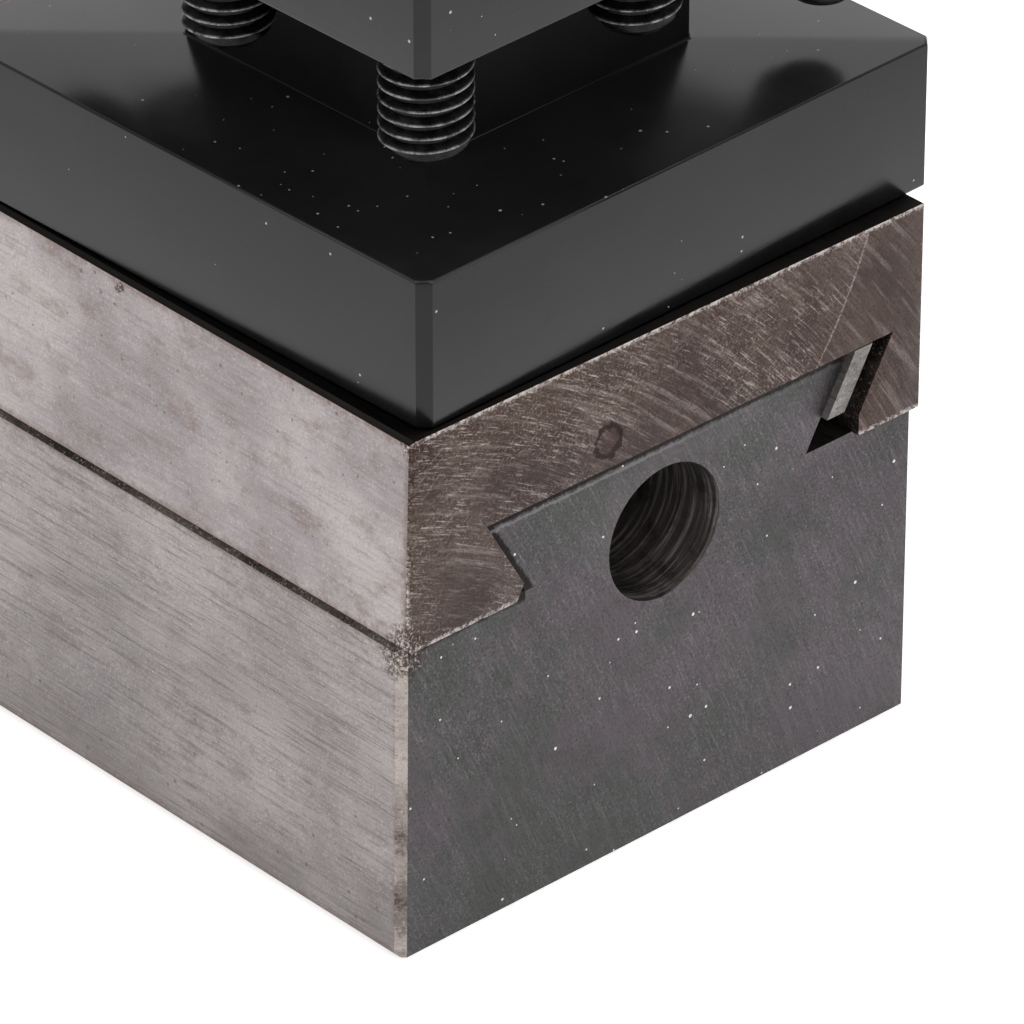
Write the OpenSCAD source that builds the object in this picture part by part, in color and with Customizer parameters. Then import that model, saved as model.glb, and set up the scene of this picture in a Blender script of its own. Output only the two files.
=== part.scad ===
// Four-way tool post on its dovetail top slide. Millimetres, +Z up.
// Origin: on the base's underside, under the tool post's turning axis.
// +X is the working end, -X the handwheel, +Y the gib side.

/* [Tool post] */
// Side of the square tool post
post_w = 60; // [40:0.5:100]
// Thickness of the lower plate
plate_lower = 14; // [8:0.1:25]
// Height of the tool slots
slot_h = 18.6; // [10:0.1:30]
// Thickness of the upper plate
plate_upper = 14; // [8:0.1:25]
// Depth of the tool slots
slot_depth = 14.6; // [8:0.1:20]
// Flat broken on each upright corner
post_chamfer = 1; // [0.3:0.1:4]
// Turn of the post about its stud at rest, degrees
post_yaw = 1.5; // [0:0.1:5]
// Stud diameter through the post
stud_d = 16; // [10:0.5:24]

/* [Tool screws] */
// Screw thread diameter
screw_d = 8; // [5:1:12]
// Screw shank length under the head
screw_len = 35; // [25:1:60]
// Distance of the screw centres from the post's faces
screw_inset = 7; // [5:0.5:12]
// Shift of the middle screws from the middle, away from the +X -Y corner
mid_shift = 0.8; // [0:0.1:2]
// Square head across flats, and its height
screw_head = 8; // [5:1:12]
// Gap under the screw at +X -Y corner
gap_1 = 7.1; // [1:0.1:17]
// Gap under the screw at mid -Y
gap_2 = 8.4; // [1:0.1:17]
// Gap under the screw at mid +X
gap_3 = 10; // [1:0.1:17]
// Gap under the screw at +X +Y corner
gap_4 = 4.5; // [1:0.1:17]
// Gap under the screw at -X -Y corner
gap_5 = 10; // [1:0.1:17]
// Gap under the screw at mid -X
gap_6 = 11; // [1:0.1:17]
// Gap under the screw at -X +Y corner
gap_7 = 9; // [1:0.1:17]
// Gap under the screw at mid +Y
gap_8 = 10; // [1:0.1:17]

/* [Slide and base] */
// Width of the top slide
slide_w = 59.2; // [40:0.1:100]
// Height of the top slide
slide_h = 20.3; // [15:0.1:40]
// Length of the top slide
slide_len = 132; // [100:1:200]
// Width of the base
base_w = 59.9; // [40:0.1:100]
// Height of the base block
base_h = 31; // [20:0.5:60]
// Length of the base block
base_len = 85; // [60:1:140]
// Height of the dovetail
dove_h = 8.6; // [6:0.1:15]
// Dovetail flank angle, degrees from vertical
dove_angle = 30; // [25:1:35]
// Clearance over the dovetail
roof_gap = 0.3; // [0.2:0.05:1]
// Clearance between sliding faces
way_gap = 0.05; // [0.02:0.01:0.1]
// Thickness of the gib strip
gib_t = 1.8; // [1.5:0.1:5]

/* [Feed screw] */
// Feed screw diameter
feed_d = 10; // [8:1:16]
// Clearance bore for the feed screw
feed_bore = 12.9; // [10:0.1:20]
// Handwheel diameter
wheel_d = 54; // [40:1:70]
// Dial diameter
dial_d = 32; // [25:1:45]

/* [Hidden] */
$fn = 64;
post_z = base_h + way_gap + slide_h + way_gap;
slot_z = post_z + plate_lower;
top_z = slot_z + slot_h + plate_upper;
core_w = post_w - 2 * slot_depth;
stud_r = stud_d / 2;
screw_r = screw_d / 2;
so = post_w / 2 - screw_inset;
screw_tip = 1.5;
screw_at = [[so, -so], [-mid_shift, -so], [so, mid_shift], [so, so],
  [-so, -so], [-so, mid_shift], [-so, so], [-mid_shift, so]];
slide_z0 = base_h + way_gap;
slide_z1 = slide_z0 + slide_h;
slide_y0 = -31;
slide_y1 = slide_y0 + slide_w;
slide_x1 = 31.2;
slide_x0 = slide_x1 - slide_len;
base_y0 = -31.5;
base_y1 = base_y0 + base_w;
base_x1 = 30.3;
base_x0 = base_x1 - base_len;
k = tan(dove_angle);
male_z = base_h + dove_h;
male_l = -22.5;
male_r = 20.1;
roof_z = male_z + roof_gap;
fem_r = 24.5;
fem_wall = 20.6;
slide_lean = 0.6;
base_lean = 0.4;
ax_y = -1.5;
ax_z = 30.15;
nut_len = 26;
nut_r = 8;
br_t = 14;
br_x1 = slide_x0;
br_x0 = br_x1 - br_t;
wheel_x1 = br_x0 - 14.2;
wheel_x0 = wheel_x1 - 10;
tail_r = 4;
grip_r = 18.5;
grip_a = 60;
hub_z = top_z + 3;
ball_z = hub_z + 26;
lever_yaw = 205;
lever_tilt = 25;
lever_len = 78;
bolt_sx = 60;
bolt_sy = 36;
bolt_cx = -12;
gib_xs = [-84, -54, -24, 14];
lock_x = -39;
gib_z = 36.8;
gib_out = male_r + way_gap + gib_t / cos(dove_angle) - (male_z + 0.05 - gib_z) * k;
br_screw_y = [-19, 17];
br_screw_z = 45.8;

steel = [0.45, 0.45, 0.44];
iron = [0.55, 0.53, 0.52];
black = [0.05, 0.05, 0.055];
bronze = [0.66, 0.48, 0.24];
chrome = [0.8, 0.8, 0.8];
plastic = [0.03, 0.03, 0.03];

// Helpers: a Y-Z profile run along X, and round bars along X and Y.
module run_x(x0, x1) {
  translate([x0, 0, 0]) rotate([90, 0, 90]) linear_extrude(x1 - x0) children();
}
module bar_x(x0, x1, r, y = ax_y, z = ax_z) {
  translate([x0, y, z]) rotate([0, 90, 0]) cylinder(h = x1 - x0, r = r);
}
module bar_y(y0, y1, r, x, z) {
  translate([x, y0, z]) rotate([-90, 0, 0]) cylinder(h = y1 - y0, r = r);
}
module feed_axis() {
  translate([0, ax_y, ax_z]) rotate([0, 90, 0]) children();
}

module base_block() {
  color(iron) difference() {
    run_x(base_x0, base_x1) polygon([
      [base_y0 - base_lean + 0.4, 0], [base_y1 - 0.4, 0], [base_y1, 0.4],
      [base_y1, base_h - 2.4], [base_y1 - 0.8, base_h], [male_r - dove_h * k, base_h], [male_r - 0.8, male_z - 1.3],
      [male_r - 1.6, male_z], [male_l + 0.35, male_z], [male_l + 0.2, male_z - 0.35],
      [male_l + dove_h * k, base_h], [base_y0 + 0.5, base_h], [base_y0, base_h - 0.5],
      [base_y0 - base_lean, 0.4]]);
    bar_x(base_x0 - 1, base_x1 + 1, feed_bore / 2);
    bar_x(base_x0 - 1, base_x0 + nut_len, nut_r);
    for (sx = [-1, 1]) for (sy = [-1, 1])
      translate([bolt_cx + sx * bolt_sx / 2, ax_y + sy * bolt_sy / 2, -1]) cylinder(h = 16, r = 4);
    translate([base_x0 + 13, ax_y, -1]) cylinder(h = 24, r = 2.5);
    // Eased upright edges at the end faces.
    for (x = [base_x0, base_x1]) {
      translate([x, base_y1, 15]) rotate([0, 0, 45]) cube([1.1, 1.1, 34], center = true);
      translate([x, base_y0 - base_lean / 2, base_h / 2]) rotate([-atan(base_lean / base_h), 0, 0])
        rotate([0, 0, 45]) cube([1.1, 1.1, 36], center = true);
    }
  }
}
module feed_nut() {
  color(bronze) difference() {
    bar_x(base_x0, base_x0 + nut_len, nut_r);
    bar_x(base_x0 - 1, base_x0 + nut_len + 1, feed_d / 2 + 0.04);
    translate([base_x0 + 13, ax_y, ax_z - nut_r - 1]) cylinder(h = 2, r = 2);
  }
}
module feed_nut_screw() {
  color(black) difference() {
    union() {
      translate([base_x0 + 13, ax_y, 11]) cylinder(h = 11, r = 2.5);
      translate([base_x0 + 13, ax_y, 22]) cylinder(h = 1, r = 1.9);
    }
    translate([base_x0 + 13, ax_y, 10]) cylinder(h = 3.5, r = 1.44, $fn = 6);
  }
}

module top_slide() {
  color(iron) difference() {
    run_x(slide_x0, slide_x1) polygon([
      [slide_y0 - slide_lean + 0.4, slide_z0], [slide_y0 - slide_lean, slide_z0 + 0.4],
      [slide_y0, slide_z1 - 0.4],
      [slide_y0 + 0.4, slide_z1], [slide_y1 - 0.4, slide_z1], [slide_y1, slide_z1 - 0.4],
      [slide_y1, slide_z0 + 0.4], [slide_y1 - 0.4, slide_z0], [fem_wall, slide_z0],
      [fem_wall, roof_z - (fem_r - fem_wall) / k],
      [fem_r, roof_z], [male_l - roof_gap * k - way_gap, roof_z],
      [male_l + (dove_h - 1.6) * k - way_gap, base_h + 1.6], [male_l + 3.2, slide_z0]]);
    translate([0, 0, roof_z - 1]) cylinder(h = 20, r = stud_r);
    translate([0, 0, roof_z - 1]) cylinder(h = 6, r = 13);
    for (x = gib_xs) bar_y(gib_out, slide_y1 + 1, 2.5, x, gib_z);
    bar_y(gib_out, slide_y1 + 1, 2.53, lock_x, gib_z);
    for (y = br_screw_y) bar_x(slide_x0 - 1, slide_x0 + 16, 2.5, y, br_screw_z);
    for (x = [slide_x0, slide_x1]) {
      translate([x, slide_y1, 41]) rotate([0, 0, 45]) cube([0.5, 0.5, 24], center = true);
      translate([x, slide_y0 - slide_lean / 2, slide_z0 + slide_h / 2])
        rotate([-atan(slide_lean / slide_h), 0, 0]) rotate([0, 0, 45]) cube([0.5, 0.5, 24], center = true);
    }
  }
}
module gib_strip() {
  w = gib_t / cos(dove_angle);
  g0 = male_r + way_gap;
  zt = male_z + 0.05;
  zb = base_h + 3;
  color(steel) difference() {
    run_x(slide_x0 + 1, slide_x1 - 0.15) polygon([
      [g0 + 0.05 * k, zt], [g0 + w, zt], [g0 + w - (zt - zb) * k, zb], [g0 - (male_z - zb) * k, zb]]);
    for (x = gib_xs) bar_y(gib_out - 0.6, gib_out + 2, 1.3, x, gib_z);
  }
}
module gib_screws() {
  color(black) for (x = gib_xs) difference() {
    union() {
      bar_y(gib_out + 1.8, slide_y1 + 6.5, 2.5, x, gib_z);
      bar_y(gib_out - 0.55, gib_out + 1.9, 1.25, x, gib_z);
    }
    translate([x, slide_y1 + 6, gib_z]) rotate([0, 25, 0]) cube([6, 2, 0.9], center = true);
  }
}
module gib_lock_nuts() {
  color(black) for (x = gib_xs) difference() {
    translate([x, slide_y1, gib_z]) rotate([-90, 0, 0]) cylinder(h = 4, r = 4.62, $fn = 6);
    bar_y(slide_y1 - 1, slide_y1 + 5, 2.5, x, gib_z);
  }
}
module lock_screw() {
  color(black) difference() {
    union() {
      bar_y(gib_out + 1.6, slide_y1 + 3, 2.5, lock_x, gib_z);
      bar_y(slide_y1 + 2, slide_y1 + 7, 4.25, lock_x, gib_z);
    }
    translate([lock_x, slide_y1 + 4.2, gib_z]) rotate([-90, 0, 0]) cylinder(h = 4, r = 2.31, $fn = 6);
  }
}
module end_bracket() {
  color(iron) difference() {
    union() {
      run_x(br_x0, br_x1) polygon([
        [slide_y0 + 0.5, slide_z0 + 4], [ax_y - 16.5, ax_z - 4], [ax_y + 16.5, ax_z - 4],
        [slide_y1 - 0.5, slide_z0 + 4], [slide_y1 - 0.5, slide_z1 - 1.5],
        [slide_y1 - 1.5, slide_z1 - 0.5], [slide_y0 + 1.5, slide_z1 - 0.5],
        [slide_y0 + 0.5, slide_z1 - 1.5]]);
      bar_x(br_x0, br_x1, 17);
    }
    bar_x(br_x0 - 1, br_x1 + 1, nut_r);
    for (y = br_screw_y) bar_x(br_x0 - 1, br_x1 + 1, 2.75, y, br_screw_z);
    for (y = br_screw_y) bar_x(br_x0 - 1, br_x0 + 5.5, 4.75, y, br_screw_z);
  }
}
module bracket_screws() {
  color(black) for (y = br_screw_y) difference() {
    union() {
      bar_x(br_x0 + 0.5, br_x0 + 5.5, 4.25, y, br_screw_z);
      bar_x(br_x0 + 5, br_x1 + 12, 2.5, y, br_screw_z);
    }
    translate([br_x0 + 0.4, y, br_screw_z]) rotate([0, 90, 0]) cylinder(h = 2.6, r = 2.31, $fn = 6);
  }
}
module bracket_bush() {
  color(bronze) difference() {
    bar_x(br_x0, br_x1, nut_r);
    bar_x(br_x0 - 1, br_x1 + 1, feed_d / 2 + 0.04);
  }
}
module turret_stud() {
  color(steel) union() {
    translate([0, 0, roof_z + 0.2]) cylinder(h = 4.8, r = 13);
    translate([0, 0, roof_z + 4]) cylinder(h = top_z - roof_z - 5, r = stud_r);
    translate([0, 0, top_z - 2]) cylinder(h = 20.5, r = stud_r - 1);
    translate([0, 0, top_z + 18.4]) cylinder(h = 1.2, r1 = stud_r - 1, r2 = stud_r - 2.2);
  }
}

module feed_screw() {
  r = feed_d / 2;
  color(steel) difference() {
    feed_axis() rotate_extrude() polygon([
      [0, wheel_x0 - 12], [tail_r - 0.8, wheel_x0 - 12], [tail_r, wheel_x0 - 11.2],
      [tail_r, br_x0 - 1.1], [r, br_x0 - 1.1], [r, br_x1 + 1.1], [nut_r, br_x1 + 1.1],
      [nut_r, br_x1 + 4.1], [r, br_x1 + 4.1], [r, -10.1], [r - 1.1, -9], [0, -9]]);
    translate([wheel_x1 + 1, ax_y, ax_z + tail_r]) cube([10, 2.4, 3], center = true);
  }
}
module thrust_washer_front() {
  color(bronze) difference() {
    bar_x(br_x1 + 0.05, br_x1 + 1.1, 9);
    bar_x(br_x1 - 1, br_x1 + 2, feed_d / 2 + 0.02);
  }
}
module thrust_washer_rear() {
  color(bronze) difference() {
    bar_x(br_x0 - 1.1, br_x0 - 0.05, 8.8);
    bar_x(br_x0 - 2, br_x0 + 1, feed_d / 2 + 0.02);
  }
}
module handwheel_key() {
  color(steel) translate([wheel_x1 + 1, ax_y, ax_z + tail_r]) cube([9.9, 2.35, 2.9], center = true);
}
module handwheel() {
  color(chrome) difference() {
    feed_axis() rotate_extrude() polygon([
      [tail_r, wheel_x0 - 2], [9.4, wheel_x0 - 2], [10, wheel_x0 - 1.4], [10.6, wheel_x0 + 2.5],
      [wheel_d / 2 - 4, wheel_x0 + 2.5], [wheel_d / 2 - 3.2, wheel_x0 + 0.6],
      [wheel_d / 2 - 2.6, wheel_x0], [wheel_d / 2 - 1.2, wheel_x0],
      [wheel_d / 2, wheel_x0 + 1.2], [wheel_d / 2, wheel_x1 - 1.2], [wheel_d / 2 - 1.2, wheel_x1],
      [20.5, wheel_x1], [19.5, wheel_x1 - 1.8], [9, wheel_x1 - 1.8], [9, br_x0 - 1.1],
      [tail_r, br_x0 - 1.1]]);
    translate([wheel_x1 + 1, ax_y, ax_z + tail_r]) cube([10, 2.4, 3], center = true);
    // Groove for the dial's friction spring.
    translate([wheel_x1 + 6, ax_y, ax_z - 9]) cube([4, 11, 3], center = true);
    feed_axis() rotate([0, 0, grip_a]) translate([0, grip_r, wheel_x0 - 1]) cylinder(h = 12, r = 2);
  }
}
module handwheel_washer() {
  color(chrome) difference() {
    bar_x(wheel_x0 - 3.4, wheel_x0 - 2, 7.5);
    bar_x(wheel_x0 - 5, wheel_x0 - 1, tail_r);
  }
}
module handwheel_nut() {
  color(chrome) difference() {
    union() {
      translate([wheel_x0 - 9.9, ax_y, ax_z]) rotate([0, 90, 0]) cylinder(h = 6.5, r = 7.5, $fn = 6);
      bar_x(wheel_x0 - 13, wheel_x0 - 8, 6.2);
      translate([wheel_x0 - 13.8, ax_y, ax_z]) rotate([0, 90, 0]) cylinder(h = 0.8, r1 = 5, r2 = 6.2);
    }
    bar_x(wheel_x0 - 12.2, wheel_x0 - 3, tail_r);
  }
}
module at_grip() {
  feed_axis() rotate([0, 0, grip_a]) translate([0, grip_r, wheel_x0]) children();
}
module handle_pin() {
  color(steel) difference() {
    at_grip() union() {
      translate([0, 0, 2]) cylinder(h = 6.2, r = 2);
      translate([0, 0, -38.5]) cylinder(h = 39, r = 2.5);
      translate([0, 0, -1]) cylinder(h = 3.5, r = 3.8);
      translate([0, 0, -39.4]) cylinder(h = 1.8, r = 3.9);
    }
    at_grip() translate([0, 0, -39.4]) cube([9, 0.9, 1.6], center = true);
  }
}
module handle_grip() {
  color(plastic) at_grip() rotate_extrude() polygon([
    [2.55, -37.4], [4.3, -37.4], [4.3, -39.4], [5.4, -39.4], [6.6, -38], [7.2, -35], [7.2, -30],
    [6.6, -24], [5.6, -16], [5, -9], [4.9, -4], [4.6, -1.4], [2.55, -1.4]]);
}
module dial_spring() {
  color(steel) translate([wheel_x1 + 6, ax_y, ax_z - 8.05]) cube([3.6, 7, 0.4], center = true);
}
module dial_ring() {
  color(chrome) difference() {
    feed_axis() rotate_extrude() polygon([
      [9.05, wheel_x1 - 1.2], [9.05, br_x0 - 0.7], [dial_d / 2 - 1.4, br_x0 - 0.7],
      [dial_d / 2, br_x0 - 2.2], [dial_d / 2, wheel_x1 + 3.4], [dial_d / 2 + 0.8, wheel_x1 + 3.2],
      [dial_d / 2 + 0.8, wheel_x1 + 0.5], [dial_d / 2, wheel_x1 - 0.2], [dial_d / 2 - 1, wheel_x1 - 1.2]]);
  }
}

module turret_block() {
  h = post_w / 2;
  c = post_chamfer;
  color(black) translate([0, 0, post_z]) rotate([0, 0, post_yaw]) difference() {
    linear_extrude(top_z - post_z) polygon([
      [-h + c, -h], [h - c, -h], [h, -h + c], [h, h - c], [h - c, h], [-h + c, h], [-h, h - c],
      [-h, -h + c]]);
    difference() {
      translate([0, 0, plate_lower + slot_h / 2]) cube([90, 90, slot_h], center = true);
      translate([0, 0, plate_lower + slot_h / 2]) cube([core_w, core_w, 60], center = true);
    }
    translate([0, 0, -1]) cylinder(h = 80, r = stud_r + 0.05);
    translate([0, 0, -1]) cylinder(h = 2.5, r = 12);
    for (p = screw_at)
      translate([p[0], p[1], 20]) cylinder(h = 60, r = screw_r + 0.05);
  }
}
module clamp_washer() {
  color(steel) difference() {
    translate([0, 0, top_z]) cylinder(h = 2.95, r = 16);
    translate([0, 0, top_z - 1]) cylinder(h = 5, r = stud_r + 0.05);
  }
}
module at_lever() {
  translate([0, 0, ball_z]) rotate([0, 0, lever_yaw]) rotate([0, 90 - lever_tilt, 0]) children();
}
module lever_hub() {
  color(chrome) difference() {
    union() {
      translate([0, 0, hub_z]) cylinder(h = 1, r1 = 12.2, r2 = 13);
      translate([0, 0, hub_z + 1]) cylinder(h = 6, r = 13);
      translate([0, 0, hub_z + 7]) cylinder(h = 1.6, r1 = 13, r2 = 11);
      translate([0, 0, hub_z + 8]) cylinder(h = 12, r = 11);
      translate([0, 0, ball_z]) sphere(r = 15);
    }
    translate([0, 0, hub_z - 1]) cylinder(h = 21.5, r = stud_r - 1 + 0.04);
    at_lever() translate([0, 0, 8]) cylinder(h = 20, r = 4.5);
  }
}
module lever_arm() {
  color(chrome) at_lever() union() {
    translate([0, 0, 8]) cylinder(h = lever_len - 16, r = 4.5);
    translate([0, 0, lever_len - 9]) cylinder(h = 11, r = 3);
  }
}
module lever_knob() {
  color(plastic) difference() {
    at_lever() union() {
      translate([0, 0, lever_len + 3]) sphere(r = 11);
      translate([0, 0, lever_len - 8]) cylinder(h = 4, r = 6.5);
    }
    at_lever() translate([0, 0, lever_len - 12]) cylinder(h = 14, r = 3);
  }
}

// A square-head clamping screw; the origin is at the middle of its tip.
module tool_screw(p, gap) {
  color(black) rotate([0, 0, post_yaw]) translate([p[0], p[1], slot_z + gap]) union() {
    cylinder(h = screw_tip, r1 = screw_r - screw_tip, r2 = screw_r);
    translate([0, 0, screw_tip - 0.1]) cylinder(h = screw_len - screw_tip + 0.1, r = screw_r);
    translate([-screw_head / 2, -screw_head / 2, screw_len])
      cube([screw_head, screw_head, screw_head]);
  }
}
module tool_screw_1() { tool_screw(screw_at[0], gap_1); }
module tool_screw_2() { tool_screw(screw_at[1], gap_2); }
module tool_screw_3() { tool_screw(screw_at[2], gap_3); }
module tool_screw_4() { tool_screw(screw_at[3], gap_4); }
module tool_screw_5() { tool_screw(screw_at[4], gap_5); }
module tool_screw_6() { tool_screw(screw_at[5], gap_6); }
module tool_screw_7() { tool_screw(screw_at[6], gap_7); }
module tool_screw_8() { tool_screw(screw_at[7], gap_8); }

base_block();
feed_nut();
feed_nut_screw();
top_slide();
gib_strip();
gib_screws();
gib_lock_nuts();
lock_screw();
end_bracket();
bracket_screws();
bracket_bush();
turret_stud();
feed_screw();
thrust_washer_front();
thrust_washer_rear();
handwheel_key();
handwheel();
handwheel_washer();
handwheel_nut();
handle_pin();
handle_grip();
dial_spring();
dial_ring();
turret_block();
clamp_washer();
lever_hub();
lever_arm();
lever_knob();
tool_screw_1();
tool_screw_2();
tool_screw_3();
tool_screw_4();
tool_screw_5();
tool_screw_6();
tool_screw_7();
tool_screw_8();
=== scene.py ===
"""Looks of a four-way tool post on its dovetail top slide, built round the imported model."""

import logging
import math
from dataclasses import dataclass, field
from enum import Enum
from typing import Any, Callable, Sequence

import bpy
from mathutils import Matrix, Vector


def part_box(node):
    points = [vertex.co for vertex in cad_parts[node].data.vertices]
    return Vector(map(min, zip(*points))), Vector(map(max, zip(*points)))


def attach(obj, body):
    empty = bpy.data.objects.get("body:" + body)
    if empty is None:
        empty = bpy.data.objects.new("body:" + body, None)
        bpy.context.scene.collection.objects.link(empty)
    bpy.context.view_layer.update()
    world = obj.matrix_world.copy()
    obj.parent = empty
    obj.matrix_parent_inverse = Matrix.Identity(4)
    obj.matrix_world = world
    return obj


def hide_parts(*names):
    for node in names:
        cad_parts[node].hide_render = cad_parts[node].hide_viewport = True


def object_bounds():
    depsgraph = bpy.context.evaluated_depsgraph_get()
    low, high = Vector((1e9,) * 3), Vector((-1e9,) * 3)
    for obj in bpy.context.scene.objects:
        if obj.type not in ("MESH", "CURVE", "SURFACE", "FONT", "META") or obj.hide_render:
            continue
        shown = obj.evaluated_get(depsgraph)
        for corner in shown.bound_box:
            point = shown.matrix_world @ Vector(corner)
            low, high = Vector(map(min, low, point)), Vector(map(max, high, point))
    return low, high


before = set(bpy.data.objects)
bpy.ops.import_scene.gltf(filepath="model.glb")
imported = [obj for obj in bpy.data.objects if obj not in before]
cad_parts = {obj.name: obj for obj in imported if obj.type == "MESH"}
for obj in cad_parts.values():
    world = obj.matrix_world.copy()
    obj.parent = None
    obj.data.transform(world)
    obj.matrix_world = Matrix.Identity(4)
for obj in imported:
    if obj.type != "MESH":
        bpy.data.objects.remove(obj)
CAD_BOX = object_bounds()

LOG = logging.getLogger("tool_post")
MM = 0.001
MERGE = 0.001 * MM  # points nearer than this are one
SNAP = 0.0001 * MM  # points nearer than this lie on the plane that cuts them
THREAD_DEPTH = 0.6134  # a metric thread's depth, over its pitch

Socket = bpy.types.NodeSocket
Tree = bpy.types.NodeTree
Piece = bpy.types.Object
Chooser = Callable[[Vector, Vector], int]


class Axis(Enum):
    """A direction of the row frame that a piece is turned about."""

    X = (1.0, 0.0, 0.0)
    Z = (0.0, 0.0, 1.0)


# ---------------------------------------------------------------------------
# Node helpers
# ---------------------------------------------------------------------------


def linear(hex_colour: str) -> tuple[float, float, float, float]:
    """Turns an sRGB hex colour into the linear values that a shader takes.

    Args:
        hex_colour: Six hex digits.

    Returns:
        Red, green, blue and a full alpha.
    """
    parts = [int(hex_colour[i : i + 2], 16) / 255 for i in (0, 2, 4)]
    red, green, blue = (c / 12.92 if c <= 0.04045 else ((c + 0.055) / 1.055) ** 2.4 for c in parts)
    return (red, green, blue, 1.0)


def add(kind: str, inputs: dict[str | int, Any] | None = None, tree: Tree | None = None,
        **settings: Any) -> bpy.types.Node:
    """Adds a node, sets it up and links it.

    Args:
        kind: The node's class name, without the ShaderNode prefix.
        inputs: Input name or number to a socket to link from, or a value to set.
        tree: The node tree that gets the node, if no input comes from a socket.
        settings: Attributes of the node.

    Returns:
        The new node.
    """
    inputs = inputs or {}
    sources = [value for value in inputs.values() if isinstance(value, bpy.types.NodeSocket)]
    tree = tree or sources[0].id_data
    node = tree.nodes.new("ShaderNode" + kind)
    for name, value in settings.items():
        setattr(node, name, value)
    for key, value in inputs.items():
        if isinstance(value, bpy.types.NodeSocket):
            tree.links.new(value, node.inputs[key])
        else:
            node.inputs[key].default_value = value
    return node


def drive(shader: bpy.types.Node, **values: Socket) -> None:
    """Links sockets to a shader's inputs, each named with its spaces as underscores."""
    for name, value in values.items():
        shader.id_data.links.new(value, shader.inputs[name.replace("_", " ")])


def calc(operation: str, *values: Socket | float) -> Socket:
    """Works out one number from others with a Math node, and returns its socket."""
    return add("Math", dict(enumerate(values)), operation=operation).outputs[0]


def stretch(vector: Socket, scale: Sequence[float]) -> Socket:
    """Multiplies a vector by a scale per axis, and returns its socket."""
    return add("VectorMath", {0: vector, 1: tuple(scale)}, operation="MULTIPLY").outputs[0]


def noise(vector: Socket, scale: float, detail: float = 3.0, rough: float = 0.55) -> Socket:
    """Gives the socket of soft noise between about 0.3 and 0.7.

    Args:
        vector: Position in millimetres.
        scale: Cells per millimetre.
        detail: Octaves.
        rough: How strong each finer octave is.
    """
    inputs = {"Vector": vector, "Scale": scale, "Detail": detail, "Roughness": rough}
    return add("TexNoise", inputs).outputs[0]


def ramp(value: Socket, low: float, high: float, start: float = 0.0, end: float = 1.0) -> Socket:
    """Maps a value smoothly, clamped: low gives start, and high gives end."""
    inputs = {"Value": value, "From Min": low, "From Max": high, "To Min": start, "To Max": end}
    return add("MapRange", inputs, interpolation_type="SMOOTHSTEP").outputs[0]


def blend(amount: Socket, first: Any, second: Any) -> Socket:
    """Mixes two colours or their sockets; the amount is the second one's share."""
    inputs = {0: amount, 6: first, 7: second}
    return add("Mix", inputs, data_type="RGBA", clamp_factor=True).outputs[2]


def tint(colour: Any, shade: str, value: Socket, span: Sequence[float],
         share: float | Socket) -> Socket:
    """Mixes a shade in where a value crosses a span.

    Args:
        colour: The colour so far.
        shade: The sRGB hex colour mixed in.
        value: What decides where.
        span: The value that gives none of the shade, and the one that gives all of its share.
        share: Most of the shade that shows.
    """
    return blend(ramp(value, *span, 0.0, share), colour, linear(shade))


def times(first: Socket | float, second: Socket | float) -> Socket:
    """Multiplies two numbers, and returns the product's socket."""
    return calc("MULTIPLY", first, second)


def plus(first: Socket | float, second: Socket | float) -> Socket:
    """Adds two numbers, and returns the sum's socket."""
    return calc("ADD", first, second)


def minus(first: Socket | float, second: Socket | float) -> Socket:
    """Takes one number from another, and returns the difference's socket."""
    return calc("SUBTRACT", first, second)


def split(vector: Socket) -> Any:
    """Splits a vector, and returns the sockets of its X, Y and Z."""
    return add("SeparateXYZ", {0: vector}).outputs


def polar(mm: Socket, centre: Sequence[float]) -> tuple[Socket, Socket, Socket]:
    """Gives a position's place round an axis along X.

    Args:
        mm: Position in millimetres.
        centre: Y and Z of the axis, in millimetres.

    Returns:
        Sockets of the radius in millimetres, the angle in radians and X.
    """
    parts = split(mm)
    y = minus(parts[1], centre[0])
    z = minus(parts[2], centre[1])
    radius = calc("SQRT", plus(times(y, y), times(z, z)))
    return radius, calc("ARCTAN2", z, y), parts[0]


def specks(mm: Socket, scale: float, size: float, share: float | Socket) -> Socket:
    """Scatters small round specks, and gives a mask that is 1 on them.

    Args:
        mm: Position in millimetres.
        scale: Cells per millimetre; a cell holds one speck or none.
        size: The largest speck's radius, as a share of a cell.
        share: Share of the cells that hold one.
    """
    cells = add("TexVoronoi", {"Vector": mm, "Scale": scale, "Randomness": 1.0})
    chosen = add("SeparateColor", {0: cells.outputs["Color"]}).outputs
    wide = times(plus(chosen[1], 0.35), size)
    near = calc("LESS_THAN", cells.outputs["Distance"], wide)
    return times(near, calc("LESS_THAN", chosen[0], share))


def chip(mm: Socket, colour: Socket, place: Sequence[float], size: float) -> Socket:
    """Scars the metal round a place, up to about a size from it, with torn bright and dark flecks."""
    apart = add("VectorMath", {0: mm, 1: tuple(place)}, operation="DISTANCE").outputs["Value"]
    apart = plus(apart, times(noise(mm, 1.1, 4.0, 0.75), 1.6 * size))
    mask = ramp(apart, 1.8 * size, 1.3 * size)
    torn = noise(mm, 2.6, 3.0, 0.85)
    dark = times(mask, ramp(torn, 0.46, 0.54))
    bright = times(mask, ramp(torn, 0.42, 0.36))
    colour = blend(times(dark, 0.85), colour, linear("3a2a25"))
    return blend(times(bright, 0.8), colour, linear("c9c0ba"))


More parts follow.
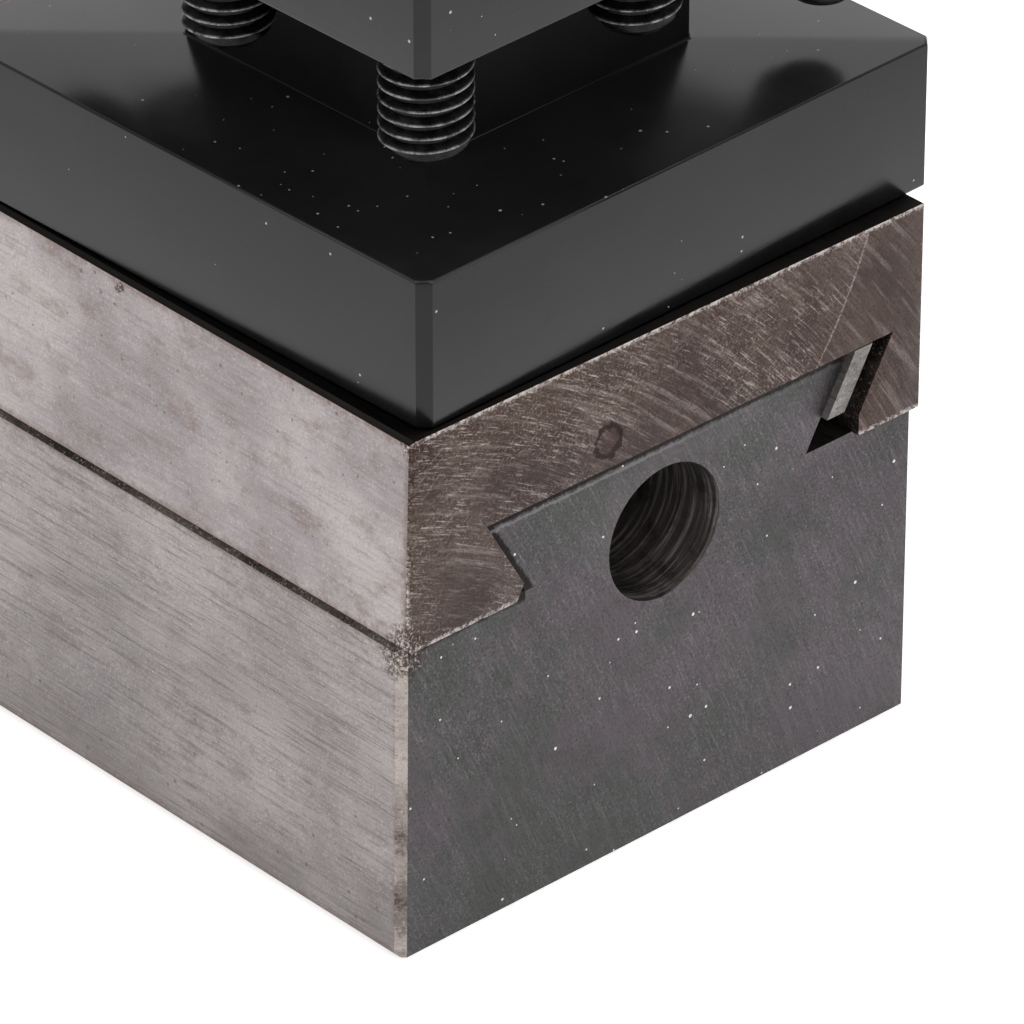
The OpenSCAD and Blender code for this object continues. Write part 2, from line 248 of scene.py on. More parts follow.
def edge_distance(mm: Socket, low: Vector, high: Vector) -> Socket:
    """Measures how far a point of a box's face is from its nearest edge, in millimetres."""
    middle = tuple((low + high) / 2)
    half = (high - low) / 2
    offset = add("VectorMath", {0: mm, 1: middle}, operation="SUBTRACT").outputs[0]
    offset = add("VectorMath", {0: offset}, operation="ABSOLUTE").outputs[0]
    parts = split(offset)
    gaps = [minus(size, part) for size, part in zip(half, parts)]
    lesser = calc("MINIMUM", gaps[0], gaps[1])
    greater = calc("MAXIMUM", gaps[0], gaps[1])
    return calc("MAXIMUM", lesser, calc("MINIMUM", greater, gaps[2]))


def arcs(mm: Socket, centre: tuple[float, float], across: float, along: float) -> Socket:
    """Coordinates that follow circles in the Y-Z plane, for marks left by a turning cutter.

    Args:
        mm: Position in millimetres.
        centre: Y and Z of the cutter's axis, in millimetres.
        across: Pattern cells per millimetre from ring to ring.
        along: Pattern cells per radian round a ring.

    Returns:
        A vector socket for a noise texture of scale 1.
    """
    radius, angle, x = polar(mm, centre)
    inputs = {0: times(radius, across), 1: times(angle, along), 2: x}
    return add("CombineXYZ", inputs).outputs[0]


# ---------------------------------------------------------------------------
# Finishes
# ---------------------------------------------------------------------------


@dataclass(frozen=True)
class Finish:
    """A real material with the surface its making gave it."""

    name: str
    base: str
    metallic: float = 1.0
    roughness: float = 0.4

    def material(self) -> bpy.types.Material:
        """Builds the material once, and returns it."""
        made = bpy.data.materials.get(self.name)
        if made:
            return made
        made = bpy.data.materials.new(self.name)
        made.use_nodes = True
        shader = made.node_tree.nodes["Principled BSDF"]
        shader.inputs["Base Color"].default_value = linear(self.base)
        shader.inputs["Metallic"].default_value = self.metallic
        shader.inputs["Roughness"].default_value = self.roughness
        made.diffuse_color = linear(self.base)
        place = add("TexCoord", tree=made.node_tree).outputs["Object"]
        self.paint(shader, stretch(place, (1 / MM,) * 3))
        return made

    def paint(self, shader: bpy.types.Node, mm: Socket) -> None:
        """Adds the surface's pattern.

        Args:
            shader: The material's Principled BSDF.
            mm: Position in millimetres.
        """

    def bump(self, shader: bpy.types.Node, height: Socket, depth_mm: float) -> None:
        """Raises the shader's surface by a height from 0 to 1, of which 1 is a depth in millimetres."""
        node = add("Bump", {"Height": height, "Strength": 1.0, "Distance": depth_mm * MM})
        drive(shader, Normal=node.outputs[0])


@dataclass(frozen=True)
class GroundIron(Finish):
    """Surface-ground cast iron: pale warm grey, with the wheel's lengthwise lines and brown stains."""

    pale: str = "b6adab"
    dark: str = "857b78"
    stain: str = "6b5750"
    lines: float = 1.0
    mottle: float = 1.0
    low: tuple[float, float, float] = (0, 0, 0)
    high: tuple[float, float, float] = (0, 0, 0)
    foot: float = 0.0
    # Half-width in X of the band round the post painted near black: oil, and the post's painted shadow
    # and reflection.
    oil_and_post_shade: float = 0.0
    chips: tuple[tuple[float, float, float, float], ...] = ()

    def paint(self, shader: bpy.types.Node, mm: Socket) -> None:
        """Adds grinding lines, cloudy tone, stains, worn edges and, where set, painted shadow round the
        post; see Finish.paint.
        """
        streak = noise(stretch(mm, (0.11, 1.0, 3.4)), 1.0, 4.0, 0.75)
        scratch = noise(stretch(mm, (0.35, 1.0, 8.0)), 1.0, 2.0)
        grain = noise(mm, 4.2, 2.0, 0.8)
        cloud = noise(mm, 0.06, 4.0, 0.6)
        blot = noise(stretch(mm, (0.7, 1.0, 1.2)), 0.3, 5.0, 0.72)
        colour = blend(ramp(cloud, 0.36, 0.66), linear(self.base), linear(self.pale))
        colour = tint(colour, self.stain, blot, (0.5, 0.68), 0.4 * self.mottle)
        colour = tint(colour, self.pale, blot, (0.46, 0.3), 0.4 * self.mottle)
        colour = tint(colour, self.dark, streak, (0.5, 0.72), 0.6 * self.lines)
        colour = tint(colour, self.pale, streak, (0.48, 0.3), 0.35 * self.lines)
        colour = tint(colour, self.dark, scratch, (0.58, 0.74), 0.5 * self.lines)
        colour = tint(colour, self.dark, grain, (0.52, 0.8), 0.6)
        colour = tint(colour, "d2cbc9", grain, (0.46, 0.2), 0.5)
        pores = specks(mm, 1.1, 0.16, 0.16)
        colour = blend(times(pores, 0.5), colour, linear("4a3c37"))
        if self.foot:
            height = plus(split(mm)[2], times(cloud, 9.0))
            colour = tint(colour, self.dark, height, (15.0, 3.0), self.foot)
        # Painted shadow and reflection of the black post, with oil: near black within a band across X
        # round the post.
        if self.oil_and_post_shade:
            along = calc("ABSOLUTE", split(mm)[0])
            edge = plus(along, times(blot, 4.0))
            colour = blend(ramp(edge, self.oil_and_post_shade + 5.0, self.oil_and_post_shade), colour, linear("1a1817"))
        if self.high != self.low:
            colour = self.wear(mm, colour, grain)
        for x, y, z, size in self.chips:
            colour = chip(mm, colour, (x, y, z), size)
        rough = ramp(streak, 0.3, 0.7, self.roughness - 0.05, self.roughness + 0.1)
        drive(shader, Base_Color=colour, Roughness=rough)
        height = plus(times(streak, 0.5), times(grain, 0.5))
        self.bump(shader, height, 0.02)

    def wear(self, mm: Socket, colour: Socket, grain: Socket) -> Socket:
        """Darkens a ragged band beside the edges and brightens the edges, broken up by the grain."""
        edge = edge_distance(mm, Vector(self.low), Vector(self.high))
        fray = noise(mm, 1.3, 5.0, 0.8)
        ragged = minus(edge, times(fray, 2.6))
        colour = tint(colour, self.stain, ragged, (-0.1, -1.1), 0.75)
        torn = ramp(noise(mm, 1.6, 3.0, 0.8), 0.42, 0.56)
        bright = ramp(plus(edge, times(grain, 0.7)), 0.62, 0.42)
        return blend(times(bright, torn), colour, linear("d9d2cf"))


@dataclass(frozen=True)
class MilledIron(Finish):
    """End-milled cast iron gone brown: dark, with the cutter's short bright arcs over it."""

    pale: str = "a79c96"
    dark: str = "443a38"
    stain: str = "3a2723"
    arcs_a: tuple[float, float] = (-50.0, -12.0)
    arcs_b: tuple[float, float] = (60.0, -60.0)
    reach: float = 65.0
    marks: float = 1.0
    cross: float = 0.35
    rust: float = 0.7
    low: tuple[float, float, float] = (0, 0, 0)
    high: tuple[float, float, float] = (0, 0, 0)
    pit: tuple[float, float] | None = None
    sweep: tuple[float, float, float] | None = None
    # Where set, the roof, flank foot Y and foot Z of the joint that gets painted shadow.
    joint_shade: tuple[float, float, float] | None = None
    chips: tuple[tuple[float, float, float, float], ...] = ()

    def paint(self, shader: bpy.types.Node, mm: Socket) -> None:
        """Adds two crossing sets of arcs, stains, a pit, pale edges, painted glints and, where set,
        painted shade in the joint; see Finish.paint.
        """
        first = noise(arcs(mm, self.arcs_a, 5.5, self.reach * 0.5), 1.0, 3.0, 0.72)
        bold = noise(arcs(mm, self.arcs_a, 2.6, self.reach * 0.16), 1.0, 4.0, 0.8)
        broad = noise(arcs(mm, self.arcs_a, 1.4, self.reach * 0.12), 1.0, 3.0, 0.6)
        second = noise(arcs(mm, self.arcs_b, 5.0, self.reach * 0.5), 1.0, 3.0, 0.7)
        cloud = noise(mm, 0.09, 4.0, 0.62)
        grain = noise(mm, 4.0, 2.0, 0.8)
        where = ramp(noise(mm, 0.11, 3.0, 0.6), 0.4, 0.6, 0.2, 1.0)
        line = None
        if self.sweep:
            apart = self.apart(mm, self.sweep[:2])
            inside = ramp(apart, self.sweep[2] + 0.3, self.sweep[2] - 0.5, 0.2, 1.0)
            where = times(where, inside)
            off = calc("ABSOLUTE", minus(apart, self.sweep[2]))
            line = ramp(off, 0.16, 0.06)
        colour = blend(ramp(cloud, 0.38, 0.62), linear(self.base), linear(self.dark))
        colour = tint(colour, self.pale, broad, (0.5, 0.7), 0.3 * self.marks)
        patch = noise(mm, 0.25, 5.0, 0.75)
        colour = tint(colour, self.stain, patch, (0.52, 0.7), self.rust)
        mark_a = plus(ramp(first, 0.56, 0.66), ramp(bold, 0.6, 0.66, 0.0, 0.8))
        mark_a = times(mark_a, 0.8 * self.marks)
        mark_b = ramp(second, 0.58, 0.68, 0.0, self.cross * self.marks)
        colour = blend(times(mark_a, where), colour, linear(self.pale))
        colour = blend(times(mark_b, where), colour, linear(self.pale))
        colour = tint(colour, self.dark, first, (0.46, 0.32), 0.55 * self.marks)
        colour = tint(colour, self.stain, grain, (0.5, 0.72), 0.75)
        flecks = times(ramp(grain, 0.46, 0.26, 0.0, 0.6), where)
        colour = blend(flecks, colour, linear(self.pale))
        # Painted highlights: tiny pale glints scattered over the face.
        colour = blend(specks(mm, 0.5, 0.07, 0.3), colour, linear("d4d0cc"))
        if self.high != self.low:
            edge = edge_distance(mm, Vector(self.low), Vector(self.high))
            torn = ramp(noise(mm, 1.4, 4.0, 0.8), 0.4, 0.56)
            bright = ramp(plus(edge, times(grain, 0.9)), 0.95, 0.55)
            colour = blend(times(bright, torn), colour, linear("b9b0ab"))
        height = plus(times(first, 0.6), times(grain, 0.4))
        if line:
            line = times(line, ramp(grain, 0.6, 0.4, 0.1, 0.7))
            colour = blend(line, colour, linear(self.pale))
        if self.pit:
            colour, height = self.sink(mm, colour, height, self.pit)
        # Painted shadow in the joint round the dovetail's end, and a painted highlight under the roof.
        if self.joint_shade:
            colour = self.joint(mm, colour, *self.joint_shade)
        for x, y, z, size in self.chips:
            colour = chip(mm, colour, (x, y, z), size)
        rough = ramp(first, 0.3, 0.7, self.roughness + 0.08, self.roughness - 0.06)
        drive(shader, Base_Color=colour, Roughness=rough)
        self.bump(shader, height, 0.04)

    def apart(self, mm: Socket, place: Sequence[float]) -> Socket:
        """Measures how far each point of the face is from a place, given by its Y and Z."""
        flat = stretch(mm, (0, 1, 1))
        return add("VectorMath", {0: flat, 1: (0, *place)}, operation="DISTANCE").outputs["Value"]

    def joint(self, mm: Socket, colour: Socket, top: float, foot_y: float,
              foot_z: float) -> Socket:
        """Darkens the oily joint round a dovetail's end with painted shadow: under its roof, up its
        flank and along its foot; a painted highlight runs along the lip under the roof.

        Args:
            mm: Position in millimetres.
            colour: The colour so far.
            top: Z of the roof's lower edge as it shows, in millimetres.
            foot_y: Y of the flank's foot.
            foot_z: Z of the flank's foot.
        """
        parts = split(mm)
        fray = times(minus(noise(mm, 1.5, 4.0, 0.8), 0.5), 0.9)
        up = minus(parts[2], foot_z)
        across = minus(parts[1], foot_y)
        flank = plus(across, times(up, math.tan(math.radians(30))))
        above = calc("GREATER_THAN", up, 0.0)
        roof = ramp(plus(parts[2], fray), top, top + 0.2)
        side = times(above, ramp(plus(flank, fray), 1.05, 0.8))
        beside = calc("LESS_THAN", across, 0.0)
        ledge = times(beside, ramp(plus(up, fray), -1.1, -0.6))
        ledge = times(ledge, calc("LESS_THAN", up, 0.1))
        dark = calc("MAXIMUM", roof, calc("MAXIMUM", side, ledge))
        # Painted highlight: a pale line just under the roof's edge, stronger towards -Y.
        off = calc("ABSOLUTE", minus(plus(parts[2], fray), top - 0.25))
        lip = ramp(off, 0.2, 0.08)
        lip = times(lip, ramp(parts[1], 6.0, -4.0, 0.1, 0.5))
        # Painted shadow: near black under the roof, up the flank and along the foot.
        colour = blend(times(dark, 0.85), colour, linear("1b1615"))
        return blend(lip, colour, linear(self.pale))

    def sink(self, mm: Socket, colour: Socket, height: Socket,
             place: tuple[float, float]) -> tuple[Socket, Socket]:
        """Sinks a ragged dark pit into the face at a Y and Z; gives the new colour and height."""
        apart = self.apart(mm, place)
        apart = plus(apart, times(noise(mm, 1.1, 4.0, 0.7), 1.6))
        hole = ramp(apart, 2.6, 2.3)
        wall = minus(hole, ramp(apart, 2.1, 1.8))
        colour = blend(times(hole, 0.45), colour, linear("3c2b27"))
        colour = blend(times(wall, 0.8), colour, linear("211715"))
        return colour, minus(height, times(hole, 2.0))


@dataclass(frozen=True)
class BoredIron(Finish):
    """The wall of a bored hole in cast iron: dark, with the boring tool's fine rings."""

    def paint(self, shader: bpy.types.Node, mm: Socket) -> None:
        """Adds rings along the bore and smudges; see Finish.paint."""
        rings = noise(stretch(mm, (2.4, 0.12, 0.12)), 1.0, 3.0)
        smudge = noise(mm, 0.4, 4.0, 0.7)
        colour = blend(ramp(rings, 0.45, 0.68), linear(self.base), linear("d6d0cd"))
        colour = tint(colour, "2a2827", smudge, (0.45, 0.7), 0.6)
        drive(shader, Base_Color=colour)
        self.bump(shader, rings, 0.05)


@dataclass(frozen=True)
class BlackOxide(Finish):
    """Black-oxided machined steel: a thin dark film with a soft sheen, dust specks and rubbed patches.
    """

    grain: float = 0.35
    wave: float = 0.0
    dust: float = 1.0
    rub: str = "3b3d3f"
    sheen: float = 0.5

    def paint(self, shader: bpy.types.Node, mm: Socket) -> None:
        """Adds faint machining grain, smudges and pale dust; see Finish.paint."""
        shader.inputs["Specular IOR Level"].default_value = self.sheen
        grain = noise(mm, 5.0, 2.0, 0.7)
        lay = noise(stretch(mm, (0.25, 0.25, 3.0)), 1.0, 3.0, 0.6)
        smudge = noise(mm, 0.08, 4.0, 0.6)
        colour = blend(ramp(smudge, 0.35, 0.7), linear(self.base), linear(self.rub))
        near = ramp(noise(mm, 0.05, 2.0), 0.42, 0.62, 0.06, 0.6)
        speck = specks(mm, 0.62, 0.075, times(near, self.dust))
        colour = blend(times(speck, 0.75), colour, linear("bcbcb8"))
        rough = ramp(smudge, 0.35, 0.65, self.roughness - 0.03, self.roughness + 0.05)
        drive(shader, Base_Color=colour, Roughness=plus(rough, times(speck, 0.4)))
        height = plus(times(grain, self.grain), times(lay, self.wave))
        self.bump(shader, plus(height, times(speck, 1.5)), 0.012)


@dataclass(frozen=True)
class ScrewBlack(Finish):
    """Black-oxided screw steel: glossy dark flanks, with the thread's crests rubbed bright and painted
    with a highlight.
    """

    # Colour of the crests' rubbed steel and painted highlight.
    crest: str = "8d8f90"

    def paint(self, shader: bpy.types.Node, mm: Socket) -> None:
        """Brightens what the crest attribute marks, unevenly, as rubbed steel and painted highlight, and
        adds grime; see Finish.paint.
        """
        crest = add("Attribute", tree=shader.id_data, attribute_name="crest").outputs["Fac"]
        patch = noise(mm, 0.9, 4.0, 0.7)
        # Rubbed steel and painted highlight: the crests are painted bright in patches.
        rubbed = times(ramp(crest, 0.8, 1.0), ramp(patch, 0.38, 0.62, 0.15, 1.0))
        colour = blend(ramp(patch, 0.4, 0.7), linear(self.base), linear("2a2928"))
        colour = blend(rubbed, colour, linear(self.crest))
        rough = ramp(patch, 0.3, 0.7, self.roughness - 0.06, self.roughness + 0.14)
        drive(shader, Base_Color=colour, Roughness=rough)
        self.bump(shader, noise(mm, 3.0, 3.0), 0.015)


@dataclass(frozen=True)
class TurnedSteel(Finish):
    """Turned steel or bronze: bright, with the tool's fine rings round one axis."""

    dark: str = "8a8886"
    axis: Axis = Axis.X
    pitch_mm: float = 0.25

    def paint(self, shader: bpy.types.Node, mm: Socket) -> None:
        """Adds rings along the axis and smudges; see Finish.paint."""
        scale = [1 / self.pitch_mm if part else 0.12 for part in self.axis.value]
        rings = noise(stretch(mm, scale), 1.0, 2.0)
        smudge = noise(mm, 0.15, 4.0, 0.65)
        colour = blend(ramp(smudge, 0.38, 0.72), linear(self.base), linear(self.dark))
        rough = ramp(smudge, 0.3, 0.7, self.roughness - 0.05, self.roughness + 0.12)
        drive(shader, Base_Color=colour, Roughness=rough)
        self.bump(shader, rings, 0.006)


@dataclass(frozen=True)
class Dial(Finish):
    """Satin-chromed dial: bright, with cut and blacked lines round its rim."""

    centre: tuple[float, float] = (0.0, 0.0)
    start_x: float = 0.0
    divisions: int = 60
    rim: float = 15.5

    def paint(self, shader: bpy.types.Node, mm: Socket) -> None:
        """Adds the dial's lines, each tenth one longer; see Finish.paint."""
        radius, angle, x = polar(mm, self.centre)
        turn = calc("DIVIDE", angle, 2 * math.pi)
        step = times(plus(turn, 1.0), float(self.divisions))
        share = calc("FRACT", plus(step, 0.5))
        off = calc("ABSOLUTE", minus(share, 0.5))
        line = calc("LESS_THAN", off, 0.085)
        order = calc("ROUND", step)
        tenth = calc("LESS_THAN", calc("MODULO", order, 10.0), 0.5)
        fifth = calc("LESS_THAN", calc("MODULO", order, 5.0), 0.5)
        reach = plus(3.0, plus(times(tenth, 1.6), fifth))
        along = minus(self.start_x, x)
        line = times(line, calc("LESS_THAN", along, reach))
        line = times(line, calc("GREATER_THAN", radius, self.rim))
        smudge = noise(mm, 0.2, 4.0, 0.65)
        colour = blend(ramp(smudge, 0.4, 0.7), linear(self.base), linear("a9a9a7"))
        drive(shader, Base_Color=blend(line, colour, linear("121212")))
        self.bump(shader, minus(1.0, line), 0.08)


@dataclass(frozen=True)
class MouldedPlastic(Finish):
    """Compression-moulded phenolic: near black and glossy, with faint ripples and handling marks."""

    def paint(self, shader: bpy.types.Node, mm: Socket) -> None:
        """Adds ripple, tone and handling marks; see Finish.paint."""
        ripple = noise(mm, 0.25, 2.0)
        marks = noise(mm, 1.4, 4.0, 0.7)
        colour = blend(ramp(marks, 0.4, 0.7), linear(self.base), linear("1d1c1b"))
        rough = ramp(marks, 0.35, 0.7, self.roughness, self.roughness + 0.16)
        drive(shader, Base_Color=colour, Roughness=rough)
        self.bump(shader, ripple, 0.05)


def box_mm(node: str) -> tuple[tuple[float, ...], tuple[float, ...]]:
    """Gives a CAD node's lowest and highest corners in millimetres."""
    low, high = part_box(node)
    return tuple(low / MM), tuple(high / MM)


# ---------------------------------------------------------------------------
# Mesh helpers
# ---------------------------------------------------------------------------


def mode(kind: str) -> None:
    """Goes into the active piece's edit mode, or back to object mode."""
    bpy.ops.object.mode_set(mode=kind)


def pick(action: str) -> None:
    """Selects all of the mesh in edit mode, or none of it."""
    bpy.ops.mesh.select_all(action=action)


def fresh(name: str) -> Piece:
    """Names the piece just made, and returns it."""
    piece = bpy.context.view_layer.objects.active
    piece.name = piece.data.name = name
    return piece


def only(piece: Piece) -> Piece:
    """Selects one piece alone, makes it active and returns it."""
    bpy.ops.object.select_all(action="DESELECT")
    piece.select_set(True)
    bpy.context.view_layer.objects.active = piece
    return piece


def settle(piece: Piece) -> Piece:
    """Puts a piece's place into its mesh, and returns it."""
    only(piece)
    bpy.ops.object.transform_apply(location=True, rotation=True, scale=True)
    return piece


def apply_modifier(piece: Piece, kind: str, **settings: Any) -> Piece:
    """Adds a modifier with its settings and applies it.

    Args:
        piece: The piece it works on.
        kind: The modifier's type.
        settings: Attributes of the modifier.
    """
    only(piece)
    modifier = piece.modifiers.new(kind.lower(), kind)
    for name, value in settings.items():
        setattr(modifier, name, value)
    bpy.ops.object.modifier_apply(modifier=modifier.name)
    return piece


def smooth(piece: Piece, degrees: float = 35.0) -> Piece:
    """Shades a piece smooth, with edges sharper than an angle left hard, and returns it."""
    only(piece)
    bpy.ops.object.shade_smooth_by_angle(angle=math.radians(degrees))
    return piece


def machined_copy(node: str, bevel_mm: float, segments: int = 2) -> Piece:
    """Copies a CAD node's mesh, merges its faces and breaks its sharp edges.

    Args:
        node: The CAD node.
        bevel_mm: Width of the broken edges.
        segments: Facets across each.

    Returns:
        The new piece, named after the node.
    """
    only(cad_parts[node])
    bpy.ops.object.duplicate()
    piece = fresh(f"{node}_machined")
    piece.parent = None
    piece.matrix_world = Matrix.Identity(4)
    only(piece)
    if piece.data.has_custom_normals:
        bpy.ops.mesh.customdata_custom_splitnormals_clear()
    mode("EDIT")
    pick("SELECT")
    bpy.ops.mesh.remove_doubles(threshold=2 * MERGE)
    bpy.ops.mesh.dissolve_limited(angle_limit=math.radians(0.6), delimit={"NORMAL"})
    bpy.ops.mesh.normals_make_consistent(inside=False)
    mode("OBJECT")
    apply_modifier(piece, "BEVEL", width=bevel_mm * MM, segments=segments, limit_method="ANGLE",
                   angle_limit=math.radians(32), use_clamp_overlap=True, harden_normals=False)
    return smooth(piece)


def dress(piece: Piece, finishes: Sequence[Finish], choose: Chooser | None = None) -> None:
    """Gives a piece its materials.

    Args:
        piece: The piece.
        finishes: Its finishes, in slot order.
        choose: Takes a face's normal and centre in millimetres and returns its slot; without it, 0.
    """
    piece.data.materials.clear()
    for finish in finishes:
        piece.data.materials.append(finish.material())
    for face in piece.data.polygons:
        face.material_index = choose(face.normal, face.center / MM) if choose else 0


def stand_for(piece: Piece, node: str, body: str) -> None:
    """Puts a piece in a CAD node's place and on its body, and hides the node."""
    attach(piece, body)
    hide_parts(node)
    LOG.info("%s stands for %s", piece.name, node)


def put(piece: Piece, finishes: Sequence[Finish], node: str, body: str,
        choose: Chooser | None = None) -> None:
    """Dresses a piece and puts it in a CAD node's place; see dress and stand_for."""
    dress(piece, finishes, choose)
    stand_for(piece, node, body)


def cylinder(name: str, radius: float, start: float, end: float, vertices: int = 64) -> Piece:
    """Adds a capped cylinder along Z, from a start to an end, in metres."""
    bpy.ops.object.select_all(action="DESELECT")
    bpy.ops.mesh.primitive_cylinder_add(vertices=vertices, radius=radius, depth=end - start,
                                        location=(0, 0, (start + end) / 2))
    return settle(fresh(name))


def cut(piece: Piece, tool: Piece, operation: str = "DIFFERENCE") -> Piece:
    """Cuts, joins or trims a piece with a tool, which is used up, and returns the piece."""
    apply_modifier(piece, "BOOLEAN", operation=operation, object=tool, solver="EXACT")
    bpy.data.objects.remove(tool, do_unlink=True)
    return piece


@dataclass
class ThreadedRod:
    """A metric thread as it is rolled: a 60 degree ridge wound round a core."""

    major: float
    pitch: float
    length: float
    chamfer: float = 1.5 * MM
    steps: int = 40

    def build(self, name: str) -> Piece:
        """Winds the thread up Z from the origin, trims both ends and chamfers the lower one."""
        radius = self.major / 2
        root = radius - THREAD_DEPTH * self.pitch
        turns = math.ceil(self.length / self.pitch) + 3
        outline = ((root, 0.0), (root, 0.22), (radius - 0.03 * self.pitch, 0.53), (radius, 0.57),
                   (radius, 0.65), (radius - 0.03 * self.pitch, 0.69), (root, 1.0))
        bpy.ops.object.select_all(action="DESELECT")
        bpy.ops.mesh.primitive_circle_add(vertices=len(outline), radius=root, fill_type="NOTHING")
        piece = fresh(name)
        mode("EDIT")
        pick("DESELECT")
        mode("OBJECT")
        for vertex, (out, up) in zip(piece.data.vertices, outline):
            vertex.co = (out, 0.0, (up - 2) * self.pitch)
        closing = {0, len(outline) - 1}
        for edge in piece.data.edges:
            edge.select = set(edge.vertices) == closing
        mode("EDIT")
        bpy.ops.mesh.select_mode(type="EDGE")
        bpy.ops.mesh.delete(type="EDGE_FACE")
        mode("OBJECT")
        apply_modifier(piece, "SCREW", axis="Z", angle=2 * math.pi, screw_offset=self.pitch,
                       iterations=turns, steps=self.steps, render_steps=self.steps,
                       use_merge_vertices=True, merge_threshold=MERGE, use_normal_calculate=False)
        mode("EDIT")
        bpy.ops.mesh.select_mode(type="VERT")
        for height, inner, outer in ((0.0, True, False), (self.length, False, True)):
            pick("SELECT")
            bpy.ops.mesh.remove_doubles(threshold=MERGE)
            pick("SELECT")
            bpy.ops.mesh.bisect(plane_co=(0, 0, height), plane_no=(0, 0, 1), use_fill=True,
                                clear_inner=inner, clear_outer=outer, threshold=SNAP)
        pick("SELECT")
        bpy.ops.mesh.normals_make_consistent(inside=False)
        mode("OBJECT")
        for vertex in piece.data.vertices:
            reach = math.hypot(vertex.co.x, vertex.co.y)
            most = radius - self.chamfer + vertex.co.z
            if reach > most:
                vertex.co.x *= most / reach
                vertex.co.y *= most / reach
        return piece

    def mark_crest(self, piece: Piece) -> None:
        """Stores how far out each point is, from 0 at the thread's root to 1 at its crest."""
        radius = self.major / 2
        depth = THREAD_DEPTH * self.pitch
        layer = piece.data.attributes.new("crest", "FLOAT", "POINT")
        for vertex, mark in zip(piece.data.vertices, layer.data):
            reach = math.hypot(vertex.co.x, vertex.co.y)
            on_thread = reach < radius * 1.001
            mark.value = min(max((reach - radius + depth) / depth, 0.0), 1.0) if on_thread else 0.0


# ---------------------------------------------------------------------------
# Sub-assemblies
# ---------------------------------------------------------------------------


